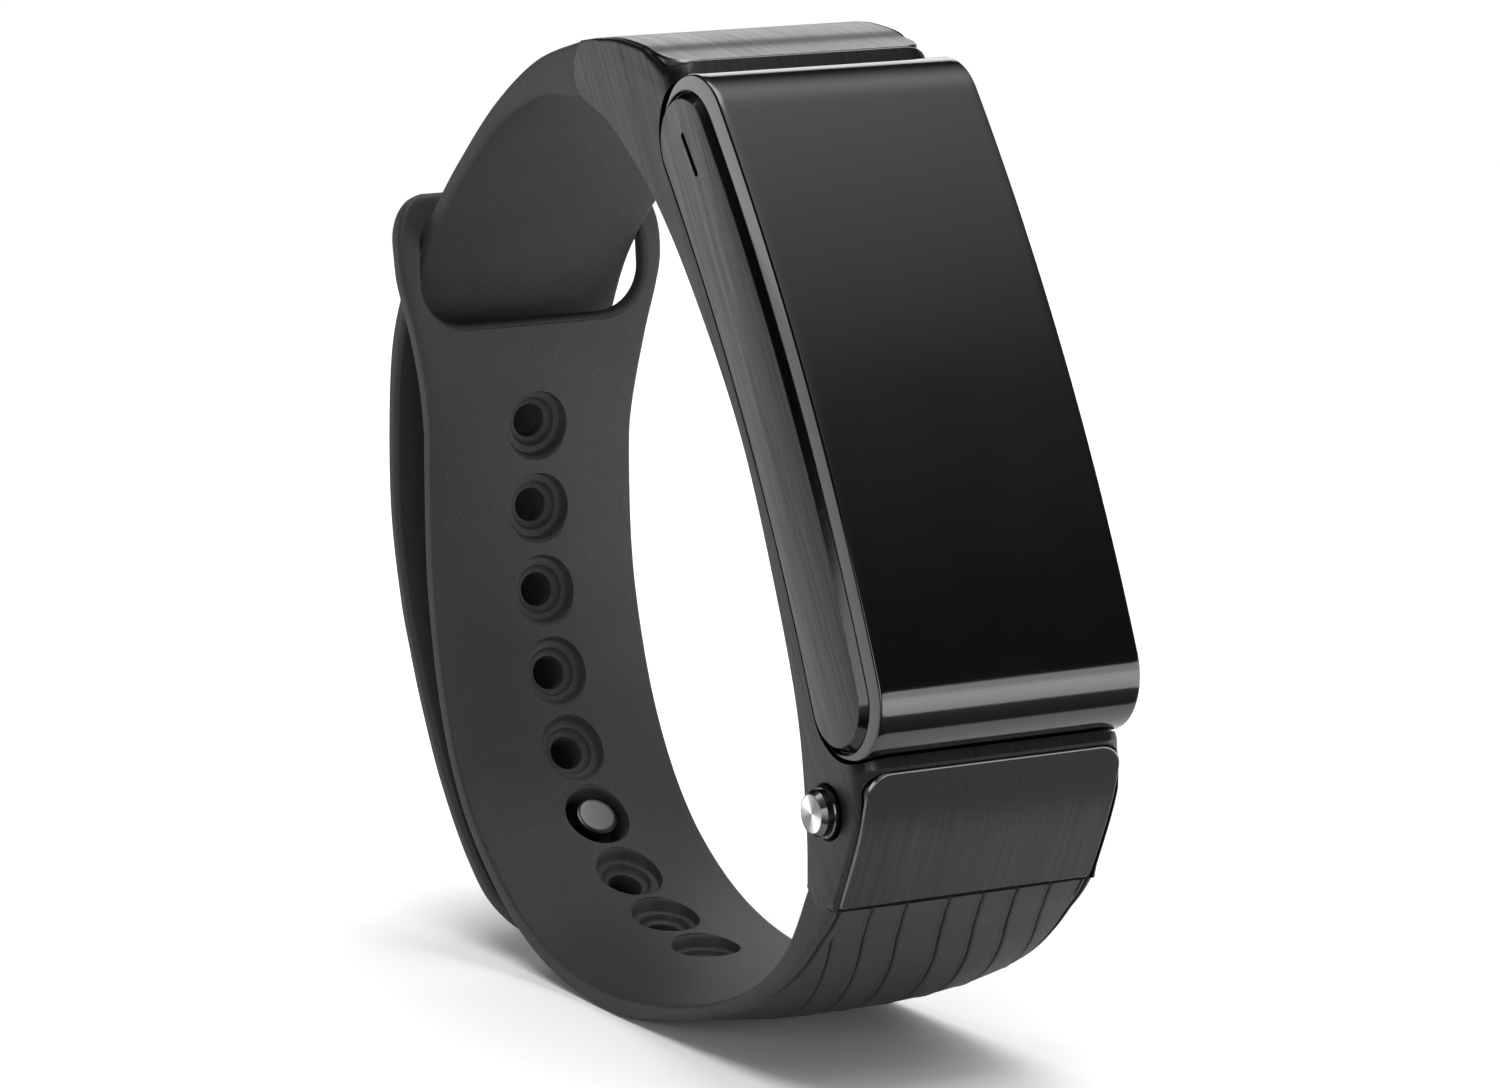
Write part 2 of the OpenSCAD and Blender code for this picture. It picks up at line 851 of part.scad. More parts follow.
module strap_tail() {
    tip_y = tail_points[len(tail_points) - 1][0];
    color("dimgray")
        difference() {
            intersection() {
                across(concat(
                    without_first(side(tail_path, 0)),
                    reversed(without_first(side(tail_path, 1))),
                    arc(fold, tail_t / 2, fold_angle, fold_angle + 180, fold_steps)
                ), tail_w);
                upright_prism(concat(
                    [for (a = [0:9:90]) [tail_w / 2 * sin(a), tip_y + tip_r * (1 - cos(a))]],
                    [[tail_w / 2, 50]]
                ));
            }
            at_hole(used_hole)
                cylinder(h = stud_top(), r = stud_neck_r);
        }
}

// ---- Stud ----

// Distance from the wrist's side of the lower strap to the tail, along the stud
function tail_from_hole() =
    let (
        at = on_lower(hole_s(used_hole)),
        out = hole_out(used_hole),
        near = [for (p = smooth(shifted(tail_points), 12)) let (d = flat(p) - at) [d * left_of(out), d * out]]
    )
    min([for (p = near) if (abs(p[0]) < washer_r) p[1]]);

function stud_top() = tail_from_hole() + stud_in_tail;
function stud_low() = stud_sunk - hole_rise(used_hole);

module stud() {
    color("gray")
        at_hole(used_hole) {
            translate([0, 0, stud_low()])
                cylinder(h = stud_head_t, d = stud_d);
            translate([0, 0, stud_low()])
                cylinder(h = stud_top() - stud_low(), r = stud_neck_r);
        }
}

module stud_washer() {
    color("black")
        at_hole(used_hole)
            difference() {
                translate([0, 0, strap_t + washer_gap])
                    cylinder(h = tail_from_hole() - strap_t - 2 * washer_gap, r = washer_r);
                cylinder(h = stud_top(), r = stud_neck_r);
            }
}

display_glass();
display_panel();
pod_housing();
side_plate_left();
side_plate_right();
main_board();
battery();
microphone();
speaker();
vibration_motor();
charge_contacts();
power_key();
cradle_frame();
top_plate();
bottom_plate();
plate_screws();
release_button_left();
release_button_right();
button_face_left();
button_face_right();
release_spring_left();
release_spring_right();
upper_strap();
strap_tail();
lower_strap();
stud();
stud_washer();
upper_anchor_pin();
lower_anchor_pin();
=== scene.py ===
import math
import bpy
import bmesh
import numpy as np
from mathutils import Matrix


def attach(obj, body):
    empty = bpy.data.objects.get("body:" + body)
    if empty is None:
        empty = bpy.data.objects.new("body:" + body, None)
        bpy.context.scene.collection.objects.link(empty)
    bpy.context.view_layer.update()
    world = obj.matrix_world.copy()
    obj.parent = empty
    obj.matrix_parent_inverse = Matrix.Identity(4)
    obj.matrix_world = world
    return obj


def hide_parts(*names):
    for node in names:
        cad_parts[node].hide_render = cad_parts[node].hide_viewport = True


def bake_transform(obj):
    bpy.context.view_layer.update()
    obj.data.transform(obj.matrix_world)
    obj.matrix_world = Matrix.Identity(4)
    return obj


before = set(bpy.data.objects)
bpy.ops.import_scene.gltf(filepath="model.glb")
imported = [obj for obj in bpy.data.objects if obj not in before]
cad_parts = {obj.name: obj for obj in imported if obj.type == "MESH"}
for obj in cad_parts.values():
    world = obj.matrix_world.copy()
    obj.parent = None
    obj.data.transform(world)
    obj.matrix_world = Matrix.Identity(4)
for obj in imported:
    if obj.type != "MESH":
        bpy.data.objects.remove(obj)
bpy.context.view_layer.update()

# ---- Sizes, in mm ----
# The cradle's frame is [x, n, s]: from side to side, outwards from the wrist, and up along the pod.
MM = 0.001
LEAN = math.radians(30)
CRADLE_Y, CRADLE_Z = -1.2, 34.8  # the cradle frame's origin in the row frame
POD_X, POD_T, POD_R = 10.3, 8.7, 160.0  # the pod's half width, thickness and radius of bend
END_S, MID_N = 20.4, 25.55  # s of its round ends' centres, and n of its middle
BEND = math.asin(END_S / POD_R)
# Half widths of the side plates' seat, the shell's inside and the core
SEAT_X, SHELL_X, CORE_X = 9.65, 9.6, 9.55
GLASS_T, GLASS_BACK, EDGE_R = 1.2, 22.45, 0.2  # thickness, n where the glass ends, and edge radius
PLATE_BACK = 0.9  # how far the side plates lie nearer the wrist than the pod's outline
KEY_LINE = (24.2, 4.4), (24.2, 7.6)  # the power key's long axis
CONTACTS_X, CONTACTS_S = (-4.5, -1.5, 1.5, 4.5), -5
BAND_X = 10.5  # half the cradle's width
DOCK_GAP, SEAM_GAP = 0.15, 0.07  # between pod and cradle, and between cradle and straps
BUTTON = (18.2, -26.4)
# The cradle's outline as [n, s]: the wrist face, the two shoulders and the two seams with the straps
WRIST = [[11.5, 29], [14.4, 25.4], [17.4, 18.6], [19.2, 10], [20.1, 0], [19.3, -10], [17.8, -19], [15.2, -26],
         [13.1, -30]]
LOW = [[15.5, -32.75], [18.3, -30.9], [20.4, -29.4], [22.2, -27.85], [24.4, -25.65]]
TOP = [[24.5, 25.9], [22.1, 27.65], [20.5, 29.05], [17.2, 31.15], [13.2, 32.75]]
LOW_SEAM = [[13.1, -30], [13.45, -31.3], [14.1, -32.15], [14.75, -32.3], [15.12, -32.32], [15.5, -32.75]]
TOP_SEAM = [[13.2, 32.75], [12.6, 32.5], [11.75, 31.9], [11.3, 31.2], [11.15, 30.1], [11.5, 29]]


# ---- Geometry helpers ----
def row(x, n, s):
    """A point of the cradle's frame in the row frame, in mm."""
    c, d = math.cos(LEAN), math.sin(LEAN)
    return (x, CRADLE_Y - n * c + s * d, CRADLE_Z + n * d + s * c)


def smooth(points, k):
    """A smooth curve through points, in k steps from each to the next."""
    p = np.array(points, float)
    last = len(p) - 1
    out = []
    for i in range(last):
        a, b, c, d = p[max(i - 1, 0)], p[i], p[i + 1], p[min(i + 2, last)]
        for t in np.arange(k) / k:
            out.append(0.5 * (2 * b + (c - a) * t + (2 * a - 5 * b + 4 * c - d) * t * t
                              + (3 * b - a - 3 * c + d) * t ** 3))
    return np.array(out + [p[last]])


def normals(path):
    """Unit normals to the left of the way that a 2-D path runs."""
    t = np.empty_like(path)
    t[1:-1] = path[2:] - path[:-2]
    t[0], t[-1] = path[1] - path[0], path[-1] - path[-2]
    t /= np.linalg.norm(t, axis=1)[:, None]
    return np.stack([-t[:, 1], t[:, 0]], 1)


def new_object(name, verts, faces, material, scale=MM):
    mesh = bpy.data.meshes.new(name)
    mesh.from_pydata([[c * scale for c in v] for v in verts], [], faces)
    mesh.validate()
    obj = bpy.data.objects.new(name, mesh)
    bpy.context.scene.collection.objects.link(obj)
    b = bmesh.new()
    b.from_mesh(mesh)
    bmesh.ops.recalc_face_normals(b, faces=b.faces)
    b.to_mesh(mesh)
    b.free()
    if material:
        mesh.materials.append(material)
    return obj


def loft(name, rings, material):
    """A closed solid through rings of the same number of points."""
    n = len(rings[0])
    faces = [(a + j, a + (j + 1) % n, a + n + (j + 1) % n, a + n + j)
             for a in range(0, (len(rings) - 1) * n, n) for j in range(n)]
    faces += [tuple(range(n)), tuple(range((len(rings) - 1) * n, len(rings) * n))]
    return new_object(name, [p for r in rings for p in r], faces, material)


def lathe(name, profile, at, axis, material, steps=64):
    """A solid turned from (distance along axis, radius) points, about axis through at, in mm."""
    axis = np.array(axis, float) / np.linalg.norm(axis)
    u = np.cross(axis, (1, 0, 0) if abs(axis[0]) < 0.9 else (0, 1, 0))
    u /= np.linalg.norm(u)
    v = np.cross(axis, u)
    rings = [[np.array(at) + axis * d + r * (math.cos(a) * u + math.sin(a) * v)
              for a in np.arange(steps) * 2 * math.pi / steps] for d, r in profile]
    return loft(name, rings, material)


def shade(obj, angle):
    """Smooth shading, but for edges sharper than angle, in degrees."""
    for p in obj.data.polygons:
        p.use_smooth = True
    obj.data.set_sharp_from_angle(angle=math.radians(angle))
    return obj


def cut(obj, cutter):
    """Cuts a solid out of obj, and removes it."""
    m = obj.modifiers.new("cut", "BOOLEAN")
    m.operation = "DIFFERENCE"
    m.solver = "EXACT"
    m.object = cutter
    depsgraph = bpy.context.evaluated_depsgraph_get()
    mesh = bpy.data.meshes.new_from_object(obj.evaluated_get(depsgraph))
    obj.modifiers.remove(m)
    old = obj.data
    obj.data = mesh
    bpy.data.meshes.remove(old)
    bpy.data.objects.remove(cutter)


def tidy(obj, dist=0.002):
    """Joins points that a cut left closer together than dist, in mm."""
    b = bmesh.new()
    b.from_mesh(obj.data)
    bmesh.ops.remove_doubles(b, verts=b.verts, dist=dist * MM)
    bmesh.ops.dissolve_degenerate(b, dist=dist * MM * 0.5, edges=b.edges)
    b.to_mesh(obj.data)
    b.free()
    return obj


def prism(name, points, x0, x1, material=None):
    """An [n, s] outline extruded from x0 to x1."""
    return loft(name, [[row(x, *p) for p in points] for x in (x0, x1)], material)


def inset(points, d):
    """A closed 2-D outline moved inwards by d, mitred at its corners."""
    p = np.array(points, float)
    e = np.roll(p, -1, 0) - p
    area = np.sum(p[:, 0] * np.roll(p[:, 1], -1) - np.roll(p[:, 0], -1) * p[:, 1])
    n = np.stack([-e[:, 1], e[:, 0]], 1) / np.linalg.norm(e, axis=1)[:, None] * np.sign(area)
    m = n + np.roll(n, 1, 0)
    m /= np.maximum(np.sum(m * n, 1), 0.35)[:, None]
    return p + d * m


def arc2(c, r, a0, a1, k):
    """Points on an arc about c, from a0 to a1 degrees in k steps."""
    a = np.radians(np.linspace(a0, a1, k + 1))
    return np.stack([c[0] + r * np.cos(a), c[1] + r * np.sin(a)], 1)


def pill(a, b, r, k=12):
    """The outline at distance r round the line from a to b."""
    w = math.degrees(math.atan2(b[1] - a[1], b[0] - a[0]))
    return np.concatenate([arc2(b, r, w - 90, w + 90, k), arc2(a, r, w + 90, w + 270, k)])


def pod_outline(front=72, cap=44, back=72):
    """Points and outward normals of the pod's closed [n, s] outline, in so many steps for each arc."""
    h, b = POD_T / 2, math.degrees(BEND)
    mid = np.array([MID_N - POD_R, 0.0])
    top = mid + POD_R * np.array([math.cos(BEND), math.sin(BEND)])
    low = mid + POD_R * np.array([math.cos(BEND), -math.sin(BEND)])
    parts = []
    for c, r, a0, a1, k, sign in ((mid, POD_R + h, -b, b, front, 1), (top, h, b, b + 180, cap, 1),
                                  (mid, POD_R - h, b, -b, back, -1), (low, h, 180 - b, 360 - b, cap, 1)):
        a = np.radians(np.linspace(a0, a1, k + 1)[1:])
        d = np.stack([np.cos(a), np.sin(a)], 1)
        parts.append((c + r * d, sign * d))
    return np.concatenate([p[0] for p in parts]), np.concatenate([p[1] for p in parts])


POD_P, POD_N = pod_outline()


def pod_ring(x, inset_by, shift):
    return [row(x, n - shift, s) for n, s in POD_P - inset_by * POD_N]


# ---- Materials ----
def material(name, build, **sockets):
    """A material whose Principled shader has sockets set and its nodes added by build(tree, shader)."""
    m = bpy.data.materials.new(name)
    m.use_nodes = True
    nt = m.node_tree
    bsdf = nt.nodes["Principled BSDF"]
    for k, v in sockets.items():
        bsdf.inputs[k.replace("_", " ")].default_value = v
    build(nt, bsdf)
    return m


def node(nt, kind, **values):
    """A new node with its properties or unlinked inputs set by name."""
    n = nt.nodes.new(kind)
    for k, v in values.items():
        if hasattr(n, k):
            setattr(n, k, v)
        else:
            n.inputs[k.replace("_", " ")].default_value = v
    return n


def calc(nt, operation, *values):
    """The output of a Math node whose inputs are other nodes' outputs or numbers."""
    m = node(nt, "ShaderNodeMath", operation=operation)
    for socket, value in zip(m.inputs, values):
        if isinstance(value, (int, float)):
            socket.default_value = value
        else:
            nt.links.new(value, socket)
    return m.outputs[0]


def coords(nt, scale=(1, 1, 1), turn=(0, 0, 0)):
    """Object coordinates in mm, turned and then scaled."""
    t = node(nt, "ShaderNodeTexCoord")
    m = node(nt, "ShaderNodeMapping", vector_type="TEXTURE")
    m.inputs["Rotation"].default_value = turn
    m.inputs["Scale"].default_value = [MM / s for s in scale]
    nt.links.new(t.outputs["Object"], m.inputs["Vector"])
    return m.outputs["Vector"]


def noise(nt, vec, scale=1.0, detail=3.0, rough=0.55):
    n = node(nt, "ShaderNodeTexNoise", Scale=scale, Detail=detail, Roughness=rough)
    nt.links.new(vec, n.inputs["Vector"])
    return n.outputs["Fac"]


def ramp(nt, fac, stops):
    """A colour ramp from (position, grey or colour) stops."""
    r = node(nt, "ShaderNodeValToRGB")
    while len(r.color_ramp.elements) < len(stops):
        r.color_ramp.elements.new(0.5)
    for e, (pos, c) in zip(r.color_ramp.elements, stops):
        e.position = pos
        e.color = (c, c, c, 1) if not isinstance(c, tuple) else (*c, 1)
    nt.links.new(fac, r.inputs["Fac"])
    return r.outputs["Color"]


def to_range(nt, fac, low, high, a=0.3, b=0.7):
    """Takes a to b onto low to high."""
    r = node(nt, "ShaderNodeMapRange")
    for k, v in (("From Min", a), ("From Max", b), ("To Min", low), ("To Max", high)):
        r.inputs[k].default_value = v
    nt.links.new(fac, r.inputs["Value"])
    return r.outputs["Result"]


def bump(nt, bsdf, height, strength, distance):
    """Bumps of a height up to distance, in mm."""
    b = node(nt, "ShaderNodeBump", Strength=strength, Distance=distance * MM)
    nt.links.new(height, b.inputs["Height"])
    nt.links.new(b.outputs["Normal"], bsdf.inputs["Normal"])


def brushed(name, tone, rough, fine, contrast):
    """Metal with long fine scratches; fine is the scratches' scale along X, Y and Z of the leaning pod."""
    def build(nt, bsdf):
        turn = (-LEAN, 0, 0)
        scratches = noise(nt, coords(nt, fine, turn), 1.0, 4.0, 0.65)
        streaks = noise(nt, coords(nt, [f * 0.23 for f in fine], turn), 1.0, 2.0)
        mix = node(nt, "ShaderNodeMix", data_type="FLOAT")
        mix.inputs[0].default_value = 0.35
        nt.links.new(scratches, mix.inputs[2])
        nt.links.new(streaks, mix.inputs[3])
        both = mix.outputs[0]
        low, high = ((t, t, t * 1.03) for t in (tone * (1 - contrast), tone * (1 + contrast)))
        nt.links.new(ramp(nt, both, [(0.3, low), (0.7, high)]), bsdf.inputs["Base Color"])
        nt.links.new(to_range(nt, both, rough + 0.1, rough - 0.08), bsdf.inputs["Roughness"])
        bump(nt, bsdf, both, 0.25, 0.02)
    return material(name, build, Metallic=1.0)


def rubber(name, tone, rough=0.62, speckle=0.16):
    """Moulded rubber: a cloudy tone, a fine grain, and small pale specks of dust."""
    def build(nt, bsdf):
        v = coords(nt)
        cloud = noise(nt, v, 0.18, 3.0)
        grain = noise(nt, v, 6.5, 2.0, 0.7)
        dots = node(nt, "ShaderNodeTexVoronoi", feature="F1", Scale=5.5)
        nt.links.new(v, dots.inputs["Vector"])
        base = ramp(nt, cloud, [(0.3, (tone * 0.9, tone * 0.92, tone * 0.97)),
                                (0.7, (tone * 1.1, tone * 1.12, tone * 1.18))])
        spot = to_range(nt, dots.outputs["Distance"], 1.0, 0.0, 0.05, 0.17)
        mix = node(nt, "ShaderNodeMix", data_type="RGBA")
        nt.links.new(calc(nt, "MULTIPLY", spot, 0.5), mix.inputs[0])
        nt.links.new(base, mix.inputs[6])
        mix.inputs[7].default_value = (speckle, speckle, speckle, 1)
        nt.links.new(mix.outputs[2], bsdf.inputs["Base Color"])
        nt.links.new(to_range(nt, grain, rough - 0.08, rough + 0.08), bsdf.inputs["Roughness"])
        bump(nt, bsdf, grain, 0.35, 0.03)
    return material(name, build, Specular_IOR_Level=0.3)


def plain(name, color, rough, metal=0.0, grain=8.0, vary=0.12, bumpy=0.1):
    """A material whose colour, roughness and surface vary a little over a fine grain."""
    def build(nt, bsdf):
        g = noise(nt, coords(nt), grain, 3.0)
        lo = tuple(c * (1 - vary) for c in color)
        hi = tuple(min(c * (1 + vary), 1) for c in color)
        nt.links.new(ramp(nt, g, [(0.3, lo), (0.7, hi)]), bsdf.inputs["Base Color"])
        nt.links.new(to_range(nt, g, rough * (1 - vary), rough * (1 + vary)), bsdf.inputs["Roughness"])
        bump(nt, bsdf, g, bumpy, 0.01)
    return material(name, build, Metallic=metal)


def glass_black():
    """Black cover glass, with a slow change in its gloss."""
    def build(nt, bsdf):
        g = noise(nt, coords(nt), 0.15, 2.0)
        nt.links.new(ramp(nt, g, [(0.3, 0.0014), (0.7, 0.0022)]), bsdf.inputs["Base Color"])
        nt.links.new(to_range(nt, g, 0.10, 0.125), bsdf.inputs["Roughness"])
    return material("glass_black", build, Coat_Weight=0.25, Coat_Roughness=0.09)


def spun():
    """Turned metal: painted highlight and painted shade as bright and dark wedges about the button's axis,
    over fine rings.
    """
    def build(nt, bsdf):
        tangent = node(nt, "ShaderNodeTangent", direction_type="RADIAL", axis="X")
        nt.links.new(tangent.outputs["Tangent"], bsdf.inputs["Tangent"])
        split = node(nt, "ShaderNodeSeparateXYZ")
        nt.links.new(node(nt, "ShaderNodeTexCoord").outputs["Object"], split.inputs[0])
        y, z = (calc(nt, "SUBTRACT", split.outputs[out], centre * MM)
                for out, centre in zip("YZ", row(0, *BUTTON)[1:]))
        angle = calc(nt, "ARCTAN2", z, y)
        # The bright and dark wedges in the colour are painted highlight and painted shade of the turned face,
        # not its own tone.
        painted_wedge = noise(nt, angle, 1.1, 2.0, 0.4)
        painted_wave = calc(nt, "SINE", calc(nt, "MULTIPLY", angle, 2.0))
        share = to_range(nt, calc(nt, "ADD", painted_wave, painted_wedge), 0.0, 1.0, -0.3, 1.5)
        nt.links.new(ramp(nt, share, [(0.0, 0.16), (0.45, 0.36), (1.0, 0.95)]), bsdf.inputs["Base Color"])
        grain = noise(nt, coords(nt), 9.0, 2.0)
        nt.links.new(to_range(nt, grain, 0.26, 0.34), bsdf.inputs["Roughness"])
    return material("spun_metal_painted_wedges", build, Metallic=1.0, Anisotropic=0.7)


ALONG_POD, DOWN_PLATE = (18.0, 18.0, 0.16), (18.0, 0.16, 0.16)  # scales of the scratches
M = {
    "glass": glass_black(),
    "shell": plain("pod_shell", (0.012, 0.012, 0.013), 0.28, grain=3.0),
    "side": brushed("side_brushed", 0.05, 0.34, ALONG_POD, contrast=0.6),
    "bevel": plain("side_bevel", (0.035, 0.035, 0.037), 0.14, metal=1.0, grain=4.0),
    "edge": plain("plate_edge", (0.12, 0.12, 0.123), 0.24, metal=1.0, grain=4.0),
    "cradle": brushed("cradle_brushed", 0.03, 0.38, ALONG_POD, contrast=0.55),
    # The two shoulder plates are one metal: the low plate's darker tone is painted shade and the top plate's
    # lighter tone is painted light.
    "low_plate": brushed("low_plate_brushed_shaded", 0.042, 0.34, DOWN_PLATE, contrast=0.35),
    "top_plate": brushed("top_plate_brushed_lit", 0.06, 0.34, DOWN_PLATE, contrast=0.35),
    "button": plain("button_metal", (0.10, 0.10, 0.105), 0.18, metal=1.0, grain=6.0),
    "face": spun(),
    "stud": plain("stud_metal", (0.06, 0.06, 0.062), 0.30, metal=1.0, grain=12.0),
    "rubber": rubber("strap_rubber", 0.02),
    "washer": plain("washer_rubber", (0.012, 0.012, 0.012), 0.6),
    "steel": plain("steel", (0.45, 0.45, 0.46), 0.3, metal=1.0),
    "gold": plain("contact_gold", (0.85, 0.6, 0.25), 0.22, metal=1.0),
    "board": plain("board", (0.01, 0.09, 0.04), 0.5, grain=1.2, vary=0.4),
    "foil": plain("battery_foil", (0.5, 0.5, 0.52), 0.38, metal=1.0, grain=1.5, bumpy=0.5),
    "panel": plain("panel", (0.01, 0.01, 0.016), 0.12),
}


# ---- Pod ----
def pod_section(p, n):
    """Half of the pod's cross-section at an outline point, from the side plate's seat to the middle."""
    depth = max(0.75 + PLATE_BACK * n[0], 0.06)
    t = np.array([-n[1], n[0]])
    seat = p - depth * n + PLATE_BACK * n[1] * t
    r = min(EDGE_R, 0.6 * depth)
    half = [(SEAT_X, seat), (POD_X - 0.05, seat), (POD_X, seat + 0.05 * n)]
    for a in np.linspace(0, math.pi / 2, 7):
        half.append((POD_X - r + r * math.cos(a), p - r * (1 - math.sin(a)) * n))
    half += [(x, p) for x in (SHELL_X, 8.0, 4.0)]
    return half, p - max(GLASS_T, depth + 0.3) * n


def pod_part(name, ids, gap=0.02):
    """A band of the pod's wall over the outline points ids, drawn in by gap at its two ends."""
    rings = []
    for i in ids:
        p, n = POD_P[i].copy(), POD_N[i]
        t = np.array([-n[1], n[0]])
        if i == ids[0]:
            p += gap * t
        if i == ids[-1]:
            p -= gap * t
        half, inner = pod_section(p, n)
        rings.append([row(x, *q) for x, q in half] + [row(-x, *q) for x, q in reversed(half)]
                     + [row(-SHELL_X, *inner), row(SHELL_X, *inner)])
    return shade(loft(name, rings, M["glass"]), 40)


total = len(POD_P)
on_front = POD_P[:, 0] > GLASS_BACK
front = int(np.sum(on_front))
start = next(i for i in range(total) if on_front[i] and not on_front[i - 1])
glass = pod_part("cover_glass", [(start + k) % total for k in range(front)])
shell = pod_part("pod_shell", [(start + front - 1 + k) % total for k in range(total - front + 2)])
core = prism("pod_core", POD_P - 1.75 * POD_N, -CORE_X, CORE_X, M["shell"])
outwards = np.array(row(0, 1, 0)) - row(0, 0, 0)
for x in CONTACTS_X:
    cut(shell, lathe("hole", [(20, 0.8), (23.6, 0.8)], row(x, 0, CONTACTS_S), outwards, None, 32))
shade(shell, 40)
cut(core, prism("slot", pill(*KEY_LINE, 1.0), 8.5, 12))
shade(core, 40)


def side_plate(name, sign):
    """A brushed plate on the pod's side, with a polished bevel round its outer face."""
    profile = [(9.7, 0.86), (10.18, 0.86), (10.24, 0.88), (10.70, 1.29), (10.74, 1.32), (10.75, 1.35)]
    obj = loft(name, [pod_ring(sign * x, d, PLATE_BACK) for x, d in profile], M["side"])
    obj.data.materials.append(M["bevel"])
    for p in obj.data.polygons:
        p.material_index = int(2 * total <= p.index < 3 * total)
    return obj


plate_left = side_plate("side_trim_left", -1)
cut(plate_left, prism("slit", pill((23.6, 20.85), (24.0, 17.85), 0.22), -12, -9))
plate_right = side_plate("side_trim_right", 1)
cut(plate_right, prism("slot", pill(*KEY_LINE, 1.0), 9, 12))
for plate in (plate_left, plate_right):
    shade(plate, 20)
key_profile = [(9.0, 0.9), (10.95, 0.9), (11.06, 0.86), (11.1, 0.76)]
key = loft("power_button", [[row(x, *q) for q in pill(*KEY_LINE, r)] for x, r in key_profile], M["side"])
shade(key, 25)

# ---- Cradle ----
wrist = smooth(WRIST, 10)
low_curve = smooth(LOW, 12)
top_curve = smooth(TOP, 12)
low_seam, top_seam = smooth(LOW_SEAM, 6), smooth(TOP_SEAM, 6)
DOCK_R, CAP_N = POD_T / 2 + DOCK_GAP, MID_N - POD_R + POD_R * math.cos(BEND)
ARM, ARM_POINTS = 3.0, 12  # length of the dock's wall beside each land, and its points


def dock_side(end, drop, sign):
    """Points on the dock's wall from its round end up to the land, which lies drop below end."""
    n = np.linspace(end - ARM, end - drop, ARM_POINTS)
    return np.stack([n, sign * (END_S + np.sqrt(DOCK_R ** 2 - (n - CAP_N) ** 2))], 1)


dock = POD_P + DOCK_GAP * POD_N
dock_ids = [i for i in range(total) if dock[i][0] < LOW[4][0] - ARM - 0.05]
first = next(i for i in dock_ids if i - 1 not in dock_ids)
dock_line = np.array([dock[(first + k) % total] for k in range(len(dock_ids))])[::-1]


def along_from(curve, start):
    """Length along a curve from its start, or from its end."""
    d = np.concatenate([[0], np.cumsum(np.linalg.norm(np.diff(curve, axis=0), axis=1))])
    return d if start else d[-1] - d


def edge_radius(curve, start):
    """Radius of the cradle's long edge: wide at the land and narrow along the shoulder."""
    return np.interp(along_from(curve, start), [0, 1, 2.6, 4, 10.4, 11.2], [2.2, 1.9, 1.0, 0.5, 0.42, 0.2])


def seam_radius(seam, start):
    return np.interp(along_from(seam, start), [0, 1.6], [0.2, 0.04])


def cradle_ring(share):
    """The cradle's outline inset by a share (0 to 1) of its edge radius, and that radius at each point."""
    low_part = [(wrist[:-1], np.full(len(wrist) - 1, 0.12)),
                (low_seam[:-1], seam_radius(low_seam, False)[:-1]),
                (low_curve, edge_radius(low_curve, False))]
    top_part = [(top_curve, edge_radius(top_curve, True)),
                (top_seam[1:-1], seam_radius(top_seam, True)[1:-1])]
    line = np.concatenate([q for q, r in low_part + top_part])
    radius = np.concatenate([r for q, r in low_part + top_part])
    moved = line + (inset(line, 1.0) - line) * (radius * share)[:, None]
    # The two lands' corners stay on their walls, and points that would pass them are spread out
    top = sum(len(q) for q, r in low_part)
    low = top - 1
    low_drop, top_drop = radius[low] * share, radius[top] * share
    for corner, way, land in ((low, -1, (LOW[4][0] - low_drop, LOW[4][1] + 0.4 * low_drop)),
                              (top, 1, (TOP[0][0] - top_drop, TOP[0][1] - 0.51 * top_drop))):
        k = 1
        while moved[corner + way * k][0] > land[0] - 0.02:
            k += 1
        for j in range(k):
            moved[corner + way * j] = land + (moved[corner + way * k] - land) * j / k
    outline = np.concatenate([moved[:top], dock_side(LOW[4][0], low_drop, -1)[::-1], dock_line,
                              dock_side(TOP[0][0], top_drop, 1), moved[top:]])
    fade = np.linspace(1, 0, ARM_POINTS)
    widths = np.concatenate([radius[:top], radius[low] * fade, np.zeros(len(dock_line)),
                             radius[top] * fade[::-1], radius[top:]])
    return outline, np.maximum(widths, 0.04)


rings = []
for side in (-1, 1):
    steps = []
    for a in np.linspace(0, math.pi / 2, 8):
        outline, widths = cradle_ring(1 - math.cos(a))
        steps.append([row(side * (BAND_X - w * (1 - math.sin(a))), *q) for q, w in zip(outline, widths)])
    rings += steps[::-1] if side < 0 else steps
cradle = loft("cradle_body", rings, M["cradle"])


class Shoulder:
    """A shoulder's outer face: place(x, u, h) is the point at u along its chord and h above it."""

    def __init__(self, curve, start, end, side):
        way = (np.array(end) - start) / np.linalg.norm(np.array(end) - start)
        self.c = curve if (curve[0] - start) @ way < (curve[-1] - start) @ way else curve[::-1]
        self.u = (self.c - start) @ way
        self.n = normals(self.c) * side

    def place(self, x, u, h):
        q = np.array([np.interp(u, self.u, self.c[:, k]) for k in (0, 1)])
        n = np.array([np.interp(u, self.u, self.n[:, k]) for k in (0, 1)])
        over = max(u - self.u[-1], 0)
        if over:
            last = self.c[-1] - self.c[-2]
            q = q + over * last / np.linalg.norm(last)
        return row(x, *(q + h * n / np.linalg.norm(n)))


top_side = Shoulder(top_curve, TOP[0], TOP[3], -1)
low_side = Shoulder(low_curve, LOW[4], LOW[0], 1)


def plan(hw, u0, u1, r0, r1):
    """Right half of a plate's plan: half width hw, from u0 to u1, with corner radii r0 and r1."""
    side = [[hw, u] for u in np.linspace(u0 + r0, u1 - r1, 30)[1:-1]]
    return np.concatenate([arc2((hw - r0, u0 + r0), r0, -90, 0, 14), side,
                           arc2((hw - r1, u1 - r1), r1, 0, 90, 6)])


